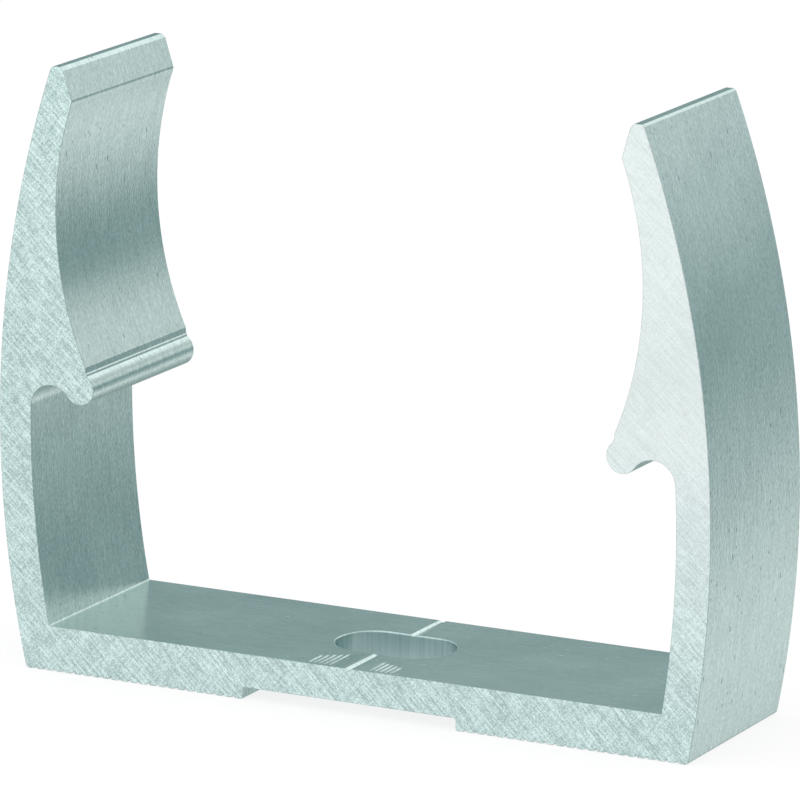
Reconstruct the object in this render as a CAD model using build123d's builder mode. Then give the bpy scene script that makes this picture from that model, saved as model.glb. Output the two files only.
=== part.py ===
from build123d import *
import os
from math import cos, degrees, radians, sin, sqrt, tan

# A clip that grips one conduit between two sprung arms, sawn off an extruded aluminium bar.
# Its profile stands in the XZ plane, is the same on both sides of X = 0, and runs along Y.
# The origin is on the mounting surface, under the middle of the screw slot. Sizes are in mm,
# angles in degrees, and the places below are those of the right-hand arm.

# The conduit, and how the clip carries it
conduit_radius = 31.5
conduit_clearance = 5.0  # from the base up to the conduit, which leaves room for a screw head
arm_set_in = 3.0  # the free arms stand this far in, so that they grip when sprung apart

# The bar
clip_length = 17.2
base_thickness = 4.1
arm_thickness = 3.2
widest_below_conduit = 20.3  # from the conduit's axis down to where the arms are widest apart
inner_corner_radius = 0.15

# The arc of each arm that seats on the conduit, measured from the level of its axis
seat_angle_above = 20.1
seat_angle_below = 23.7

# The barb under the seat: an upright wall with a small step at its foot, a rounded bead that
# touches the conduit, and the notch behind it
barb_wall_height = 0.5
barb_step = 0.1
bead_radius = 1.45
bead_distance = 1.48  # along the conduit, from the end of the seat to where the bead touches it
notch_radius = 2.1
notch_angle = 35.6  # slope of the line from the bead's centre down to the notch's

# The tip of each arm, which leads the conduit in
lead_in_height = 2.65
lead_in_angle = 17.0
tip_inner_bevel_width = 0.22
tip_inner_bevel_height = 0.38
tip_land = 0.92
tip_outer_bevel_width = 0.22
tip_outer_bevel_height = 0.25

# The underside: two ribbed feet with a shallow recess between them
recess_width = 21.0
recess_depth = 1.1
recess_corner_radius = 0.2
foot_corner_radius = 0.35
tooth_pitch = 0.96
tooth_depth = 0.24
tooth_land = 0.35

# The screw slot, which takes an M6 screw and lets it shift sideways
slot_width = 6.6
slot_travel = 4.6
slot_rim_bevel = 0.18

# The centring groove that runs along the top of the base
groove_width = 0.76
groove_depth = 0.28


def polar(centre, radius, angle):
    """The point at this radius and angle from a centre, anticlockwise from +X."""
    return centre + Vector(radius * cos(radians(angle)), radius * sin(radians(angle)))


# Seat
conduit_height = base_thickness + conduit_clearance + conduit_radius
seat_centre = Vector(-arm_set_in, conduit_height)
seat_rim = polar(seat_centre, conduit_radius, seat_angle_above)
seat_end = polar(seat_centre, conduit_radius, -seat_angle_below)

# Bead and notch, two circles that touch, so that one runs smoothly into the other
bead_angle = seat_angle_below + degrees(bead_distance / conduit_radius)
bead_centre = polar(seat_centre, conduit_radius + bead_radius, -bead_angle)
bead_nose = polar(bead_centre, bead_radius, 180)
notch_centre = polar(bead_centre, bead_radius + notch_radius, -notch_angle)
notch_start = polar(bead_centre, bead_radius, -notch_angle)

# Wall and step between the seat and the bead
wall_end = seat_end - Vector(0, barb_wall_height)
step_end = wall_end - Vector(barb_step, barb_step)
bead_start_rise = sqrt(bead_radius**2 - (step_end.X - bead_centre.X) ** 2)
bead_start = Vector(step_end.X, bead_centre.Y + bead_start_rise)

# Tip
lead_in_top = seat_rim + Vector(lead_in_height * tan(radians(lead_in_angle)), lead_in_height)
tip_inner = lead_in_top + Vector(tip_inner_bevel_width, tip_inner_bevel_height)
tip_outer = tip_inner + Vector(tip_land, 0)
tip_shoulder = tip_outer + Vector(tip_outer_bevel_width, -tip_outer_bevel_height)

# The arm's two faces are arcs about one centre, level with the arm's widest point. The outer
# one passes through the tip's shoulder, and the inner one touches the notch. With run as the
# distance from that centre out to the shoulder, this gives outer_radius = level - slope * run.
widest_height = conduit_height - widest_below_conduit
shoulder_rise = tip_shoulder.Y - widest_height
notch_rise = notch_centre.Y - widest_height
notch_offset = notch_centre.X - tip_shoulder.X
notch_inset = arm_thickness + notch_radius
slope = notch_offset / notch_inset
level = (shoulder_rise**2 + notch_inset**2 - notch_offset**2 - notch_rise**2) / (2 * notch_inset)
half_linear = level * slope
quadratic = 1 - slope**2
run = (sqrt(half_linear**2 + quadratic * (level**2 - shoulder_rise**2)) - half_linear) / quadratic
outer_radius = level - slope * run
inner_radius = outer_radius - arm_thickness
arm_centre = Vector(tip_shoulder.X - run, widest_height)


def arm_face(radius, height):
    """The point of an arm's face of this radius that lies at this height."""
    return Vector(arm_centre.X + sqrt(radius**2 - (height - widest_height) ** 2), height)


foot_corner = arm_face(outer_radius, 0)
inner_corner = arm_face(inner_radius, base_thickness)
notch_end = arm_centre + (notch_centre - arm_centre).normalized() * inner_radius

# Feet
recess_edge = recess_width / 2
foot_width = foot_corner.X - recess_edge
foot_middle = recess_edge + foot_width / 2
tooth_count = int(foot_width / tooth_pitch)
tooth_gap_half = (tooth_pitch - tooth_land) / 2
tooth_radius = (tooth_gap_half**2 + tooth_depth**2) / (2 * tooth_depth)

# The gap between two teeth: each tooth rounds off from its land into the valley
with BuildSketch() as tooth_gap:
    with BuildLine():
        valley = (0, tooth_depth)
        left_land = (-tooth_gap_half, 0)
        right_land = (tooth_gap_half, 0)
        RadiusArc(left_land, valley, -tooth_radius)
        RadiusArc(valley, right_land, -tooth_radius)
        Polyline(
            right_land,
            (tooth_gap_half, -tooth_depth),
            (-tooth_gap_half, -tooth_depth),
            left_land,
        )
    make_face()

with BuildPart() as clip_body:
    with BuildSketch(Plane.XZ) as profile:
        with BuildLine():
            Polyline((0, recess_depth), (recess_edge, recess_depth), (recess_edge, 0), foot_corner)
            RadiusArc(foot_corner, tip_shoulder, -outer_radius)
            Polyline(tip_shoulder, tip_outer, tip_inner, lead_in_top, seat_rim)
            RadiusArc(seat_rim, seat_end, conduit_radius)
            Polyline(seat_end, wall_end, step_end, bead_start)
            ThreePointArc(bead_start, bead_nose, notch_start)
            RadiusArc(notch_start, notch_end, notch_radius)
            RadiusArc(notch_end, inner_corner, inner_radius)
            Polyline(
                inner_corner,
                (groove_width / 2, base_thickness),
                (0, base_thickness - groove_depth),
                (0, recess_depth),
            )
        make_face()
        for corner, radius in (
            (inner_corner, inner_corner_radius),
            (foot_corner, foot_corner_radius),
            (Vector(recess_edge, 0), recess_corner_radius),
            (Vector(recess_edge, recess_depth), recess_corner_radius),
        ):
            fillet(profile.vertices().sort_by_distance(corner)[0], radius)
        mirror(about=Plane.YZ)
        with Locations((-foot_middle, 0), (foot_middle, 0)):
            with GridLocations(tooth_pitch, 0, tooth_count - 1, 1):
                add(tooth_gap.sketch, mode=Mode.SUBTRACT)
    extrude(amount=clip_length / 2, both=True)
    with BuildSketch(Plane.XY.offset(base_thickness)):
        SlotCenterToCenter(slot_travel, slot_width)
    extrude(amount=-base_thickness, mode=Mode.SUBTRACT)
    with BuildSketch(Plane.XY.offset(base_thickness)):
        SlotCenterToCenter(slot_travel, slot_width + 2 * slot_rim_bevel)
    extrude(amount=-slot_rim_bevel, taper=45, mode=Mode.SUBTRACT)

clip_body.part.label = "clip_body"
os.makedirs("parts", exist_ok=True)
export_step(clip_body.part, "parts/clip_body.step")
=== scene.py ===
from math import asin, atan2, cos, degrees, exp, pi, radians, sin, sqrt, tan, tanh

import bmesh
import bpy
from mathutils import Matrix, Vector


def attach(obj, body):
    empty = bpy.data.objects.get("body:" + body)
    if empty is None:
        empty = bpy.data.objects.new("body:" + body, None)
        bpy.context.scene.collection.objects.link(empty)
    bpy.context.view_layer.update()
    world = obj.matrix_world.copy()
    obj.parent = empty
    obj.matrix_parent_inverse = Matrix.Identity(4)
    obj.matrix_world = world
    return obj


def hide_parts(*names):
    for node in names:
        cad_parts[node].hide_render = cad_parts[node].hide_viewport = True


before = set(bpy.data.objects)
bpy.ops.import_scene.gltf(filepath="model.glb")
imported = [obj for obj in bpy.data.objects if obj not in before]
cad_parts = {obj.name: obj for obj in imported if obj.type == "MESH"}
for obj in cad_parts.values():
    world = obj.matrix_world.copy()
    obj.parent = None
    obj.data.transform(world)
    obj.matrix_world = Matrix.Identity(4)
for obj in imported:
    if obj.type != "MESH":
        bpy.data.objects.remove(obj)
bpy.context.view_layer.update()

# The clip's profile stands in the XZ plane and runs along Y. Sizes are in millimetres here and
# in metres in Blender, angles are in degrees.
MM = 0.001
LENGTH = 17.2
BASE = 4.1
ARM = 3.2
WIDEST_HEIGHT = 20.3
END_ROUND = 0.07

# The right seat, an arc of the conduit's circle from above the level of its axis to below it
CONDUIT_RADIUS = 31.5
SEAT_CENTRE = (-3.0, 40.6)
SEAT_ABOVE = 20.1
SEAT_BELOW = 23.7

# A small step down from the seat to the bead, and the notch under the bead
STEP_WALL = (-0.035, -0.5)
STEP_FLOOR = (-0.1, -0.1)
BEAD_RADIUS = 1.45
BEAD_DISTANCE = 1.48
NOTCH_RADIUS = 2.1
NOTCH_ANGLE = 35.6

# The arm's tip: the lead-in above the seat, a bevel, the flat land and the outer bevel
LEAD_IN_HEIGHT = 2.65
LEAD_IN_ANGLE = 17.0
INNER_BEVEL = (0.33, 0.32)
TIP_LAND = 0.76
OUTER_BEVEL = (0.20, -0.20)

# The underside, with grooves between the teeth of each foot
RECESS_EDGE = 10.5
RECESS_DEPTH = 1.1
TOOTH_PITCH = 0.96
TOOTH_DEPTH = 0.24
TOOTH_LAND = 0.35

# The base's top: the groove along the bar and the punched slot with its broken rims. The
# cutter reaches past the base below and above, and a hair-thin edge keeps each rim crisp.
GROOVE_HALF = 0.29
GROOVE_DEPTH = 0.23
SLOT_HALF_TRAVEL = 2.3
SLOT_RADIUS = 3.3
SLOT_TOP_RIM = 0.13
SLOT_LOWER_RIM = 0.1
SLOT_PAST_BELOW = 0.4
SLOT_PAST_ABOVE = 0.5
SLOT_RIM_EDGE = 0.004
SLOT_END_STEPS = 24

# The strokes beside the groove. A row is its first stroke's x and back end, and how much
# further back each next stroke ends.
STROKE_HALF_WIDTH = 0.15
STROKE_DEPTH = 0.11
STROKE_TAPER = 0.3
STROKE_COUNT = 5
STROKE_PITCH = 0.5
STROKE_FRONT = -8.2
STROKE_ROWS = ((-4.1, -5.6, 0.3), (1.9, -5.2, -0.2))

# The radii of the profile's rounded corners, and how much of a side one may take up
RECESS_ROUND = 0.2
FOOT_ROUND = 0.35
TIP_OUTER_ROUND = 0.18
TIP_ROUND = 0.12
SEAT_RIM_ROUND = 0.6
STEP_ROUNDS = (0.12, 0.03, 0.11)
INNER_FOOT_ROUND = 0.15
GROOVE_EDGE_ROUND = 0.3
GROOVE_FLOOR_ROUND = 0.4
CORNER_SHARE = 0.45

# The degrees between two points of an arc
LONG_ARC = 0.7
SEAT_ARC = 1.2
NOTCH_ARC = 5
BEAD_ARC = 6
CORNER_ARC = 22

EXTRUDED, SAWN, PUNCHED = range(3)
SHARP_ANGLE = 40

# The point on the clip's middle that the card and the lamps centre on
MIDDLE = (0, 0, 26)


def shifted(point, move):
    return (point[0] + move[0], point[1] + move[1])


def polar(centre, radius, angle):
    return shifted(centre, (radius * cos(radians(angle)), radius * sin(radians(angle))))


def arc(centre, radius, start, end, step):
    """Points of an arc from one angle to the other, both ends among them."""
    count = max(2, round(abs(end - start) / step))
    return [polar(centre, radius, start + (end - start) * i / count) for i in range(count + 1)]


def angle_of(centre, point):
    return degrees(atan2(point[1] - centre[1], point[0] - centre[0]))


def sharp(points):
    """The points as (x, z, radius), with nothing to round."""
    return [(x, z, 0) for x, z in points]


def outer_circle(shoulder, notch):
    """The circle of the arm's outer face: its centre is at the widest height, it passes through
    the shoulder, and it leaves the arm's thickness outside the notch."""
    rise = shoulder[1] - WIDEST_HEIGHT
    offset = notch[0] - shoulder[0]
    inset = ARM + NOTCH_RADIUS
    slope = offset / inset
    level = (rise**2 + inset**2 - offset**2 - (notch[1] - WIDEST_HEIGHT) ** 2) / (2 * inset)
    linear = level * slope
    square = 1 - slope**2
    run = (sqrt(linear**2 + square * (level**2 - rise**2)) - linear) / square
    return (shoulder[0] - run, WIDEST_HEIGHT), level - slope * run


def tooth_grooves(foot_x):
    """The grooves between the teeth under the right foot, each of two arcs that meet at its top."""
    foot_width = foot_x - RECESS_EDGE
    count = int(foot_width / TOOTH_PITCH) - 1
    gap = (TOOTH_PITCH - TOOTH_LAND) / 2
    radius = (gap**2 + TOOTH_DEPTH**2) / (2 * TOOTH_DEPTH)
    turn = degrees(asin(gap / radius))
    first = RECESS_EDGE + foot_width / 2 - TOOTH_PITCH * (count - 1) / 2
    points = []
    for number in range(count):
        middle = first + TOOTH_PITCH * number
        points += sharp(arc((middle - gap, radius), radius, -90, -90 + turn, turn / 4))
        points += sharp(arc((middle + gap, radius), radius, -90 - turn, -90, turn / 4)[1:])
    return points


def half_outline():
    """The right half of the profile, from the middle of the recess round to the groove, as a list
    of (x, z, radius). Where radius isn't 0, that corner is rounded."""
    seat_rim = polar(SEAT_CENTRE, CONDUIT_RADIUS, SEAT_ABOVE)
    seat_end = polar(SEAT_CENTRE, CONDUIT_RADIUS, -SEAT_BELOW)
    lead_in = shifted(seat_rim, (LEAD_IN_HEIGHT * tan(radians(LEAD_IN_ANGLE)), LEAD_IN_HEIGHT))
    tip_inner = shifted(lead_in, INNER_BEVEL)
    tip_outer = shifted(tip_inner, (TIP_LAND, 0))
    shoulder = shifted(tip_outer, OUTER_BEVEL)

    bead_angle = SEAT_BELOW + degrees(BEAD_DISTANCE / CONDUIT_RADIUS)
    bead = polar(SEAT_CENTRE, CONDUIT_RADIUS + BEAD_RADIUS, -bead_angle)
    notch = polar(bead, BEAD_RADIUS + NOTCH_RADIUS, -NOTCH_ANGLE)
    wall_end = shifted(seat_end, STEP_WALL)
    step_end = shifted(wall_end, STEP_FLOOR)
    bead_start = 180 - degrees(asin(sqrt(1 - ((step_end[0] - bead[0]) / BEAD_RADIUS) ** 2)))

    centre, outer = outer_circle(shoulder, notch)
    inner = outer - ARM
    foot_angle = -degrees(asin(WIDEST_HEIGHT / outer))
    shoulder_angle = angle_of(centre, shoulder)
    foot = polar(centre, outer, foot_angle)
    notch_end_angle = angle_of(centre, notch)
    notch_end = polar(centre, inner, notch_end_angle)
    inner_foot_angle = -degrees(asin((WIDEST_HEIGHT - BASE) / inner))
    inner_foot = polar(centre, inner, inner_foot_angle)

    points = [(0.0, RECESS_DEPTH, 0)]
    points.append((RECESS_EDGE, RECESS_DEPTH, RECESS_ROUND))
    points.append((RECESS_EDGE, 0.0, RECESS_ROUND))
    points += tooth_grooves(foot[0])
    points.append((*foot, FOOT_ROUND))
    points += sharp(arc(centre, outer, foot_angle, shoulder_angle, LONG_ARC)[1:-1])
    points.append((*shoulder, TIP_ROUND))
    points.append((*tip_outer, TIP_OUTER_ROUND))
    points.append((*tip_inner, TIP_ROUND))
    points.append((*lead_in, TIP_ROUND))
    points.append((*seat_rim, SEAT_RIM_ROUND))
    points += sharp(arc(SEAT_CENTRE, CONDUIT_RADIUS, SEAT_ABOVE, -SEAT_BELOW, SEAT_ARC)[1:-1])
    for corner, radius in zip((seat_end, wall_end, step_end), STEP_ROUNDS):
        points.append((*corner, radius))
    points += sharp(arc(bead, BEAD_RADIUS, bead_start, 360 - NOTCH_ANGLE, BEAD_ARC))
    notch_arc = arc(notch, NOTCH_RADIUS, 180 - NOTCH_ANGLE, angle_of(notch, notch_end), NOTCH_ARC)
    points += sharp(notch_arc[1:])
    points += sharp(arc(centre, inner, notch_end_angle, inner_foot_angle, LONG_ARC)[1:-1])
    points.append((*inner_foot, INNER_FOOT_ROUND))
    points.append((GROOVE_HALF, BASE, GROOVE_EDGE_ROUND))
    points.append((0.0, BASE - GROOVE_DEPTH, GROOVE_FLOOR_ROUND))
    return points


def rounded(points):
    """The closed outline with its marked corners rounded."""
    made = []
    for i, (x, z, radius) in enumerate(points):
        here = Vector((x, z))
        if not radius:
            made.append(here)
            continue
        back = Vector(points[i - 1][:2]) - here
        ahead = Vector(points[(i + 1) % len(points)][:2]) - here
        half = back.angle(ahead) / 2
        reach = min(radius / tan(half), CORNER_SHARE * back.length, CORNER_SHARE * ahead.length)
        radius = reach * tan(half)
        middle = here + (back.normalized() + ahead.normalized()).normalized() * radius / sin(half)
        start = here + back.normalized() * reach - middle
        turn = start.angle_signed(here + ahead.normalized() * reach - middle)
        steps = max(2, round(abs(degrees(turn)) / CORNER_ARC))
        for k in range(steps + 1):
            made.append(middle + Matrix.Rotation(-turn * k / steps, 2) @ start)
    return made


def whole_outline():
    """Both halves of the profile as one closed outline."""
    right = half_outline()
    left = [(-x, z, radius) for x, z, radius in reversed(right[1:-1])]
    return rounded(right + left)


def inset_outline(points, distance):
    """The closed outline moved inwards by this distance."""
    moved = []
    for i, here in enumerate(points):
        back = (here - points[i - 1]).normalized()
        ahead = (points[(i + 1) % len(points)] - here).normalized()
        normal = Vector((-back.y - ahead.y, back.x + ahead.x)).normalized()
        stretch = max(0.5, normal.dot(Vector((-back.y, back.x))))
        moved.append(here + normal * distance / stretch)
    return moved


def join_rings(bm, lower, upper):
    """A closed strip of four-sided faces between two rings of vertices."""
    faces = []
    for i in range(len(lower)):
        j = (i + 1) % len(lower)
        faces.append(bm.faces.new((lower[i], lower[j], upper[j], upper[i])))
    return faces


def mesh_of(bm, name):
    mesh = bpy.data.meshes.new(name)
    bm.to_mesh(mesh)
    bm.free()
    return mesh


def bar():
    """The bar's length of profile, with the edges of both sawn ends a little rounded."""
    bm = bmesh.new()
    turns = (0.0, pi / 6, pi / 3, pi / 2)
    end = [(END_ROUND * (1 - cos(turn)), END_ROUND * (1 - sin(turn))) for turn in turns]
    sections = [(depth - LENGTH / 2, inset) for inset, depth in reversed(end)]
    sections += [(LENGTH / 2 - depth, inset) for inset, depth in end]
    outline = whole_outline()
    rings = []
    for y, inset in sections:
        ring = inset_outline(outline, inset) if inset else outline
        rings.append([bm.verts.new((p.x * MM, y * MM, p.y * MM)) for p in ring])
    for number, (front, back) in enumerate(zip(rings, rings[1:])):
        for face in join_rings(bm, front, back):
            face.material_index = EXTRUDED if number == len(end) - 1 else SAWN
    for ring in (rings[0], rings[-1]):
        bm.faces.new(ring).material_index = SAWN
    bmesh.ops.recalc_face_normals(bm, faces=bm.faces)
    for face in bm.faces:
        face.smooth = True
    return mesh_of(bm, "clip")


def slot_levels():
    """The slot cutter's sections from below: each one's height and how far it is widened."""
    top, lower = SLOT_TOP_RIM, SLOT_LOWER_RIM
    levels = [(RECESS_DEPTH - SLOT_PAST_BELOW, lower * 1.1), (RECESS_DEPTH - SLOT_RIM_EDGE, lower)]
    levels += [(RECESS_DEPTH + lower * 0.4, lower * 0.2), (RECESS_DEPTH + lower, 0.0)]
    for angle in (0, 22, 45, 68):
        levels.append((BASE - top + top * sin(radians(angle)), top * (1 - cos(radians(angle)))))
    levels += [(BASE + SLOT_RIM_EDGE, top), (BASE + SLOT_PAST_ABOVE, top * 1.1)]
    return levels


def slot_cutter():
    """What the punch takes out: a slot whose rim is rolled over at the top and broken below."""
    bm = bmesh.new()
    rings = []
    for z, grow in slot_levels():
        ring = []
        for side in (1, -1):
            for k in range(SLOT_END_STEPS + 1):
                angle = -pi / 2 * side + pi * k / SLOT_END_STEPS
                x = side * SLOT_HALF_TRAVEL + (SLOT_RADIUS + grow) * cos(angle)
                y = (SLOT_RADIUS + grow) * sin(angle)
                ring.append(bm.verts.new((x * MM, y * MM, z * MM)))
        rings.append(ring)
    for lower, upper in zip(rings, rings[1:]):
        join_rings(bm, lower, upper)
    bm.faces.new(list(reversed(rings[0])))
    bm.faces.new(rings[-1])
    bmesh.ops.recalc_face_normals(bm, faces=bm.faces)
    for face in bm.faces:
        face.smooth = True
        face.material_index = PUNCHED
    return mesh_of(bm, "slot_cutter")


def add_stroke(bm, start, end):
    """A stamped line in the base's top: a V that narrows to a point at both ends."""
    start, end = Vector(start), Vector(end)
    along = (end - start).normalized()
    across = Vector((-along.y, along.x)) * STROKE_HALF_WIDTH * 2

    def vert(place, height):
        return bm.verts.new((place.x * MM, place.y * MM, (BASE + height) * MM))

    sections = []
    for place in (start + along * STROKE_TAPER, end - along * STROKE_TAPER):
        upper = [vert(place + across, STROKE_DEPTH), vert(place - across, STROKE_DEPTH)]
        sections.append([*upper, vert(place, -STROKE_DEPTH)])
    near, far = sections
    first, last = vert(start, STROKE_DEPTH * 0.1), vert(end, STROKE_DEPTH * 0.1)
    for i in range(3):
        j = (i + 1) % 3
        bm.faces.new((near[i], far[i], far[j], near[j]))
        bm.faces.new((first, near[i], near[j]))
        bm.faces.new((last, far[j], far[i]))


def strokes_cutter():
    """Plain graduation strokes on both sides of the groove, in front of the slot."""
    bm = bmesh.new()
    for number in range(STROKE_COUNT):
        for first_x, first_end, longer in STROKE_ROWS:
            x = first_x + STROKE_PITCH * number
            add_stroke(bm, (x, STROKE_FRONT), (x, first_end + longer * number))
    bmesh.ops.recalc_face_normals(bm, faces=bm.faces)
    for face in bm.faces:
        face.material_index = PUNCHED
    return mesh_of(bm, "strokes_cutter")


class Metal:
    """A metal's material, with short ways to add the nodes that it is made of. Texture sizes are
    in cells per millimetre."""

    def __init__(self, name):
        self.material = bpy.data.materials.new(name)
        self.material.use_nodes = True
        self.tree = self.material.node_tree
        self.shader = self.tree.nodes["Principled BSDF"]
        self.shader.inputs["Metallic"].default_value = 1.0
        self.place = self.tree.nodes.new("ShaderNodeTexCoord").outputs["Object"]

    def node(self, kind, settings=None, **inputs):
        """A new node. An input is named with _ for a space, or by its number, such as _0."""
        made = self.tree.nodes.new(kind)
        for name, value in (settings or {}).items():
            setattr(made, name, value)
        for name, value in inputs.items():
            socket = made.inputs[int(name[1:]) if name[0] == "_" else name.replace("_", " ")]
            if isinstance(value, bpy.types.NodeSocket):
                self.tree.links.new(value, socket)
            else:
                socket.default_value = value
        return made

    def maths(self, operation, *values):
        made = self.node("ShaderNodeMath", {"operation": operation})
        for value, socket in zip(values, made.inputs):
            if isinstance(value, bpy.types.NodeSocket):
                self.tree.links.new(value, socket)
            else:
                socket.default_value = value
        return made.outputs[0]

    def product(self, first, second):
        return self.maths("MULTIPLY", first, second)

    def sum(self, *terms):
        """The sum of (value, factor) pairs."""
        total = 0.0
        for value, factor in terms:
            total = self.maths("MULTIPLY_ADD", value, factor, total)
        return total

    def ranged(self, value, low, high, to_low=0.0, to_high=1.0):
        """The value with low moved to to_low and high to to_high, and held between them."""
        ends = {"From_Min": low, "From_Max": high, "To_Min": to_low, "To_Max": to_high}
        return self.node("ShaderNodeMapRange", None, Value=value, **ends).outputs["Result"]

    def stretched(self, per_mm, turn=0.0):
        """Object coordinates turned about Y, then scaled to this many units per millimetre."""
        about = {"rotation_type": "Y_AXIS"}
        turned = self.node("ShaderNodeVectorRotate", about, Vector=self.place, Angle=radians(turn))
        scale = [value / MM for value in per_mm]
        scaled = self.node("ShaderNodeVectorMath", {"operation": "MULTIPLY"}, _0=turned.outputs[0], _1=scale)
        return scaled.outputs[0]

    def noise(self, per_mm, detail, turn=0.0):
        place = self.stretched(per_mm, turn)
        return self.node("ShaderNodeTexNoise", None, Vector=place, Scale=1.0, Detail=detail).outputs["Fac"]

    def pits(self, per_mm, size, share):
        """Scattered pits: 1 inside one, 0 outside. share is how many of the cells have one."""
        place = self.stretched(per_mm)
        cells = self.node("ShaderNodeTexVoronoi", {"feature": "F1"}, Vector=place, Scale=1.0, Randomness=1.0)
        inside = self.ranged(cells.outputs["Distance"], size, size * 0.45)
        chance = self.node("ShaderNodeSeparateColor", None, Color=cells.outputs["Color"]).outputs[0]
        return self.product(inside, self.maths("LESS_THAN", chance, share))

    def level_share(self):
        """1 on faces that lie level and 0 on upright ones."""
        normal = self.node("ShaderNodeTexCoord").outputs["Normal"]
        height = self.node("ShaderNodeSeparateXYZ", None, Vector=normal).outputs[2]
        return self.ranged(self.maths("ABSOLUTE", height), 0.85, 0.99)

    def right_front_highlight(self):
        """Where the sawn faces get a painted highlight: 0 on the base, the left arm and the back, rising to
        1 up the right arm's front.
        """
        place = self.node("ShaderNodeSeparateXYZ", None, Vector=self.place)
        front = self.ranged(place.outputs[1], 4 * MM, -4 * MM)
        rightward = self.product(front, self.ranged(place.outputs[0], 10 * MM, 26 * MM))
        return self.product(rightward, self.ranged(place.outputs[2], 3 * MM, 28 * MM))

    def colour(self, value, dark, light):
        """The base colour, from dark where value is 0 to light where it is 1."""
        mixed = self.node("ShaderNodeMix", {"data_type": "RGBA"}, _0=value, _6=(*dark, 1), _7=(*light, 1))
        self.tree.links.new(mixed.outputs[2], self.shader.inputs["Base Color"])
        return mixed.outputs[2]

    def faded(self, colour, share, towards):
        """The base colour, mixed towards a plain one by this share."""
        mixed = self.node("ShaderNodeMix", {"data_type": "RGBA"}, _0=share, _6=colour, _7=(*towards, 1))
        self.tree.links.new(mixed.outputs[2], self.shader.inputs["Base Color"])

    def roughness(self, value, low, high):
        self.tree.links.new(self.ranged(value, 0.0, 1.0, low, high), self.shader.inputs["Roughness"])

    def bump(self, height, depth):
        """Relief of this depth, in millimetres, where height goes from 0 to 1."""
        bumped = self.node("ShaderNodeBump", None, Strength=1.0, Distance=depth * MM, Height=height)
        self.tree.links.new(bumped.outputs[0], self.shader.inputs["Normal"])


def extruded_metal():
    """The faces as they left the die: a fine grain, weaker on level faces, clouds and a few pits."""
    metal = Metal("extruded_aluminium")
    grain = metal.noise((2.8, 6.0, 2.8), detail=1.0)
    streaks = metal.noise((0.3, 3.0, 0.3), detail=2.5)
    clouds = metal.noise((0.13, 0.16, 0.13), detail=3.0)
    small_pits = metal.pits((0.9, 1.9, 0.75), size=0.16, share=0.22)
    long_pits = metal.pits((0.45, 1.0, 0.3), size=0.1, share=0.6)
    holes = metal.sum((small_pits, 0.8), (long_pits, 1.6))
    strength = metal.ranged(metal.level_share(), 0.0, 1.0, 1.0, 0.42)
    fine = metal.product(metal.sum((grain, 1.0), (streaks, 0.5), (-0.75, 1.0)), strength)
    tone = metal.sum((fine, 1.0), (clouds, 0.3), (holes, -0.85))
    metal.colour(metal.ranged(tone, -0.3, 0.6), dark=(0.36, 0.475, 0.455), light=(0.70, 0.845, 0.82))
    metal.roughness(metal.sum((clouds, 0.6), (holes, 0.5)), 0.17, 0.29)
    metal.bump(metal.sum((fine, 1.4), (holes, -2.5)), depth=0.006)
    return metal.material


def sawn_metal():
    """The two cut faces: fine saw lines down one diagonal, fainter ones across them and a grain. Up the
    right arm's front the lines are weaker, and a painted highlight mixes the colour towards a pale grey."""
    metal = Metal("sawn_aluminium")
    lines = metal.noise((7.5, 1.0, 0.6), detail=0.0, turn=46)
    cross = metal.noise((5.5, 1.0, 0.7), detail=0.0, turn=-40)
    grain = metal.noise((9.0, 9.0, 9.0), detail=0.0)
    painted_highlight = metal.right_front_highlight()
    # The saw lines are weaker where the painted highlight lies
    strength = metal.ranged(painted_highlight, 0.0, 1.0, 1.0, 0.6)
    scratches = metal.sum((lines, 0.8), (cross, 0.35), (grain, 1.0), (-1.075, 1.0))
    tone = metal.product(scratches, strength)
    share = metal.ranged(tone, -0.37, 0.37)
    colour = metal.colour(share, dark=(0.35, 0.46, 0.45), light=(0.675, 0.815, 0.805))
    # Painted highlight: up the right arm's front the colour is mixed halfway towards a pale grey
    metal.faded(colour, metal.product(painted_highlight, 0.5), towards=(0.83, 0.82, 0.82))
    metal.roughness(metal.noise((0.1, 0.1, 0.1), detail=2.0), 0.45, 0.56)
    metal.bump(tone, depth=0.007)
    return metal.material


def punched_metal():
    """The slot's wall and the strokes, with upright streaks left by the punch."""
    metal = Metal("punched_aluminium")
    streaks = metal.noise((3.2, 3.2, 0.12), detail=2.5)
    share = metal.ranged(streaks, 0.25, 0.75)
    metal.colour(share, dark=(0.43, 0.565, 0.56), light=(0.57, 0.715, 0.71))
    metal.roughness(streaks, 0.28, 0.42)
    metal.bump(streaks, depth=0.01)
    return metal.material


def link(name, data):
    obj = bpy.data.objects.new(name, data)
    bpy.context.scene.collection.objects.link(obj)
    return obj


def make_clip():
    """The clip, with the slot and the strokes cut out of the bar."""
    metals = (extruded_metal(), sawn_metal(), punched_metal())
    clip = link("clip", bar())
    cutters = [link("slot_cutter", slot_cutter()), link("strokes_cutter", strokes_cutter())]
    for obj in (clip, *cutters):
        for metal in metals:
            obj.data.materials.append(metal)
    for cutter in cutters:
        cut = clip.modifiers.new(cutter.name, "BOOLEAN")
        cut.operation = "DIFFERENCE"
        cut.solver = "EXACT"
        cut.object = cutter
    bpy.context.view_layer.update()
    evaluated = clip.evaluated_get(bpy.context.evaluated_depsgraph_get())
    finished = bpy.data.meshes.new_from_object(evaluated)
    clip.modifiers.clear()
    clip.data = finished
    for cutter in cutters:
        bpy.data.objects.remove(cutter)
    finished.set_sharp_from_angle(angle=radians(SHARP_ANGLE))
    shading = clip.modifiers.new("shading", "WEIGHTED_NORMAL")
    shading.keep_sharp = True
    return clip


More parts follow.
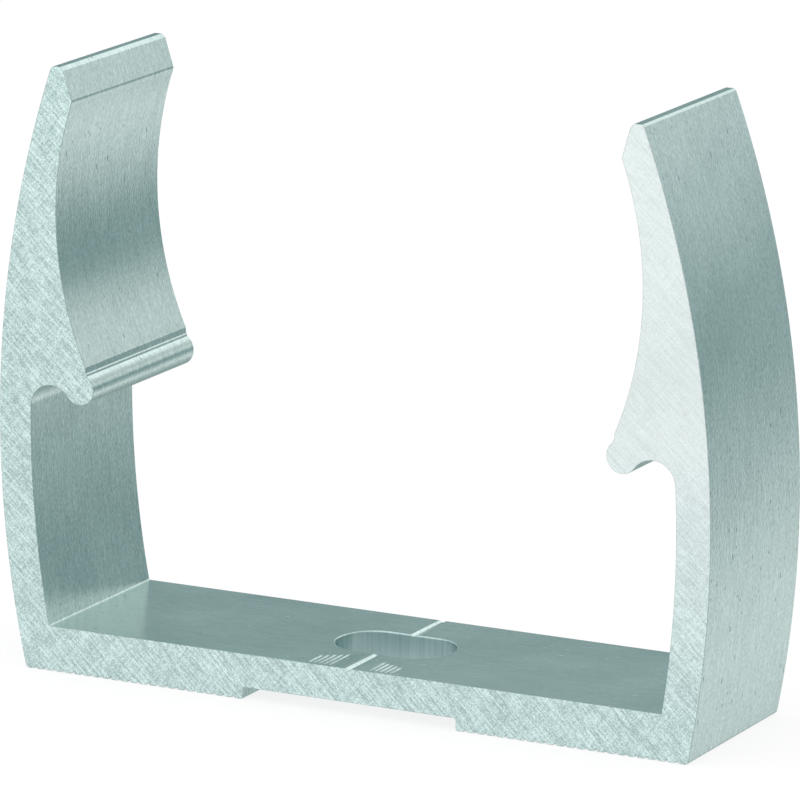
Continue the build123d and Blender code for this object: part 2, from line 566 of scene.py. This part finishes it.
# The floor's own colour, the white that the camera sees in its place and how much of it, the
# colour that the metal mirrors beneath the clip, and how far both lie below the feet
FLOOR_SIZE = 40.0
FLOOR_COLOUR = (0.9, 0.9, 0.9)
FLOOR_WHITE = 1.03
FLOOR_WHITE_SHARE = 0.8
FLOOR_DROP = 0.05
SHADED_COLOUR = (0.58, 0.63, 0.63)
SHADED_SIZE = (65.2, 16.8)
SHADED_DROP = 0.03


def seen_directly(tree):
    """A value that is 1 where the camera or a reflection looks, and 0 for other light."""
    path = tree.nodes.new("ShaderNodeLightPath")
    largest = path.outputs["Is Camera Ray"]
    for name in ("Is Glossy Ray", "Is Transmission Ray"):
        joined = tree.nodes.new("ShaderNodeMath")
        joined.operation = "MAXIMUM"
        tree.links.new(largest, joined.inputs[0])
        tree.links.new(path.outputs[name], joined.inputs[1])
        largest = joined.outputs[0]
    return largest


def floor_material():
    """Mostly white to the camera. The rest is the floor's own colour, which keeps the shadow."""
    material = bpy.data.materials.new("pale_floor")
    material.use_nodes = True
    tree = material.node_tree
    tree.nodes.clear()
    lit = tree.nodes.new("ShaderNodeBsdfDiffuse")
    lit.inputs["Color"].default_value = (*FLOOR_COLOUR, 1)
    white = tree.nodes.new("ShaderNodeEmission")
    white.inputs["Strength"].default_value = FLOOR_WHITE
    share = tree.nodes.new("ShaderNodeMath")
    share.operation = "MULTIPLY"
    share.inputs[1].default_value = FLOOR_WHITE_SHARE
    tree.links.new(seen_directly(tree), share.inputs[0])
    mixed = tree.nodes.new("ShaderNodeMixShader")
    tree.links.new(share.outputs[0], mixed.inputs["Fac"])
    tree.links.new(lit.outputs[0], mixed.inputs[1])
    tree.links.new(white.outputs[0], mixed.inputs[2])
    output = tree.nodes.new("ShaderNodeOutputMaterial")
    tree.links.new(mixed.outputs[0], output.inputs["Surface"])
    return material


def make_floor():
    """A wide floor that the metal doesn't mirror."""
    bpy.ops.mesh.primitive_plane_add(size=FLOOR_SIZE, location=(0, 0, -FLOOR_DROP * MM))
    floor = bpy.context.active_object
    floor.name = "floor"
    floor.visible_glossy = False
    floor.data.materials.append(floor_material())


def only_mirrored(obj):
    """Leaves this object to the reflections alone."""
    obj.visible_camera = False
    obj.visible_diffuse = False
    obj.visible_shadow = False


def make_shaded_floor():
    """The floor right under the clip, where the metal mirrors its shadow."""
    bpy.ops.mesh.primitive_plane_add(size=1.0, location=(0, 0, -SHADED_DROP * MM))
    patch = bpy.context.active_object
    patch.name = "floor_underneath"
    patch.scale = (SHADED_SIZE[0] * MM, SHADED_SIZE[1] * MM, 1)
    only_mirrored(patch)
    material = bpy.data.materials.new("floor_underneath")
    material.use_nodes = True
    shader = material.node_tree.nodes["Principled BSDF"]
    shader.inputs["Base Color"].default_value = (0, 0, 0, 1)
    shader.inputs["Specular IOR Level"].default_value = 0.0
    shader.inputs["Emission Color"].default_value = (*SHADED_COLOUR, 1)
    shader.inputs["Emission Strength"].default_value = 1.0
    patch.data.materials.append(material)


def make_world():
    world = bpy.data.worlds.new("studio")
    bpy.context.scene.world = world
    world.use_nodes = True
    background = world.node_tree.nodes["Background"]
    background.inputs["Color"].default_value = (1, 1, 1, 1)
    background.inputs["Strength"].default_value = 1.0


# The card's grey band behind the clip. Each row is a value on the left, what is added to it on
# the right, and what is added once more far on the right: the elevation of the band's middle,
# its widths below and above, and its red, green and blue.
BAND_MIDDLE = (10.5, -12.8, -4.0)
BAND_BELOW = (25, -17, 24)
BAND_ABOVE = (19, -4.4, -7)
BAND_COLOUR = ((0.20, 0.29, -0.23), (0.31, 0.27, -0.22), (0.315, 0.285, -0.235))

# How strongly a darker patch takes from red, green and blue
LOW_TINT = (1.12, 0.97, 0.98)

CARD_RADIUS = 3.0
CARD_AZIMUTHS = range(-180, 181, 5)
CARD_ELEVATIONS = range(-70, 81, 2)


def blend(low, high, value):
    """0 up to low, 1 from high on, and a smooth rise between them."""
    share = min(1.0, max(0.0, (value - low) / (high - low)))
    return share * share * (3 - 2 * share)


def card_colour(azimuth, elevation):
    """The card's red, green and blue in this direction from the clip. Azimuth 0 is straight
    behind it, 90 is on its right, and 180 is in front. The numbers before a blend are how
    strong a patch is, and those in it are the angles where it begins and is full."""
    side = (tanh(azimuth / 18) + 1) / 2
    far = blend(26.5, 32, azimuth)
    right = blend(18, 28, azimuth)

    def across(row):
        return row[0] + row[1] * side + row[2] * far

    offset = elevation - across(BAND_MIDDLE)
    if offset < 0:
        band = exp(-((offset / across(BAND_BELOW)) ** 2))
    else:
        band = exp(-((offset / across(BAND_ABOVE)) ** (2 + side)))

    # Below the band it is darker on the left, and a narrow strip on the right is lighter
    left = 0.38 * blend(22, 14, azimuth) + 0.14 * blend(6, -6, azimuth)
    strip = 0.1 * blend(17, 22, azimuth) * blend(27.5, 24, azimuth) * blend(-7, -15, elevation)
    low = 0.45 * blend(-32, -55, elevation) + left * blend(-12, -28, elevation) - strip

    # Above the band it is lighter on the left and darker on the right
    high = 0.35 * (1 - right) * blend(18, 32, elevation) - 0.22 * right * blend(9, 17, elevation)

    # In front it has a weaker band of its own, which reaches higher than it goes down, and a
    # bright patch low on the left, which the sawn faces mirror
    reach = 12 if elevation < 11 else 45
    front = 0.45 * blend(100, 130, abs(azimuth)) * exp(-(((elevation - 11) / reach) ** 2))
    glow = 1.2 * exp(-(((azimuth + 157) / 15) ** 2) - ((elevation + 8) / 16) ** 2)

    # All that is behind the clip fades out towards the front, the top and the bottom
    fade = blend(135, 105, abs(azimuth)) * blend(-70, -60, elevation) * blend(80, 70, elevation)
    colour = []
    for row, tint in zip(BAND_COLOUR, LOW_TINT):
        behind = high - low * tint - band * (1 - across(row))
        colour.append(1 + glow - front * tint + behind * fade)
    return colour


def card_material():
    material = bpy.data.materials.new("grey_card")
    material.use_nodes = True
    tree = material.node_tree
    tree.nodes.clear()
    attribute = tree.nodes.new("ShaderNodeAttribute")
    attribute.attribute_name = "shade"
    emission = tree.nodes.new("ShaderNodeEmission")
    tree.links.new(attribute.outputs["Color"], emission.inputs["Color"])
    output = tree.nodes.new("ShaderNodeOutputMaterial")
    tree.links.new(emission.outputs[0], output.inputs["Surface"])
    return material


def make_card():
    """A card with soft bands of light and grey all round the clip, which only its metal mirrors."""
    bm = bmesh.new()
    shade = bm.verts.layers.float_color.new("shade")
    middle = Vector(MIDDLE) * MM
    rows = []
    for elevation in CARD_ELEVATIONS:
        rows.append([])
        for azimuth in CARD_AZIMUTHS:
            a, e = radians(azimuth), radians(elevation)
            direction = Vector((sin(a) * cos(e), cos(a) * cos(e), sin(e)))
            vert = bm.verts.new(middle + direction * CARD_RADIUS)
            vert[shade] = card_colour(azimuth, elevation) + [1]
            rows[-1].append(vert)
    for lower, upper in zip(rows, rows[1:]):
        for i in range(len(lower) - 1):
            bm.faces.new((lower[i], lower[i + 1], upper[i + 1], upper[i]))
    mesh = mesh_of(bm, "grey_card")
    mesh.materials.append(card_material())
    card = link("grey_card", mesh)
    only_mirrored(card)


def lamp(name, place, size, power):
    """A square soft lamp that faces the clip. Place and size in millimetres, power in watts."""
    data = bpy.data.lights.new(name, "AREA")
    data.shape = "SQUARE"
    data.size = size * MM
    data.energy = power
    obj = link(name, data)
    obj.location = Vector(place) * MM
    aim = Vector(MIDDLE) * MM - obj.location
    obj.rotation_euler = aim.to_track_quat("-Z", "Y").to_euler()
    obj.visible_camera = False


# The photograph's camera: its lens and sensor, the point that it looks at and its distance from
# it in millimetres, and its direction from there. Azimuth 0 is straight in front.
CAMERA_LENS = 304.39
CAMERA_SENSOR = 36.0
CAMERA_TARGET = (0.6633, 0, 26.1026)
CAMERA_DISTANCE = 583.166
CAMERA_AZIMUTH = 29.0726
CAMERA_ELEVATION = 13.9294
CAMERA_ROLL = -0.6223


def make_camera():
    data = bpy.data.cameras.new("camera")
    data.lens = CAMERA_LENS
    data.sensor_width = CAMERA_SENSOR
    data.clip_end = 100.0
    camera = link("camera", data)
    azimuth, elevation, roll = map(radians, (CAMERA_AZIMUTH, CAMERA_ELEVATION, CAMERA_ROLL))
    back = Vector((sin(azimuth) * cos(elevation), -cos(azimuth) * cos(elevation), sin(elevation)))
    right = Vector((cos(azimuth), sin(azimuth), 0))
    up = back.cross(right)
    rolled_right = right * cos(roll) + up * sin(roll)
    rolled_up = up * cos(roll) - right * sin(roll)
    axes = Matrix((rolled_right, rolled_up, back)).transposed()
    place = (Vector(CAMERA_TARGET) + back * CAMERA_DISTANCE) * MM
    camera.matrix_world = Matrix.Translation(place) @ axes.to_4x4()
    bpy.context.scene.camera = camera
    bpy.context.scene.view_settings.view_transform = "Standard"


clip = make_clip()
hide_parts("clip_body")
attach(clip, "root")

make_floor()
make_shaded_floor()
make_world()
make_card()
lamp("key", (20, -200, 150), 240, 0.09)
lamp("fill", (-75, -130, 120), 180, 0.04)
make_camera()
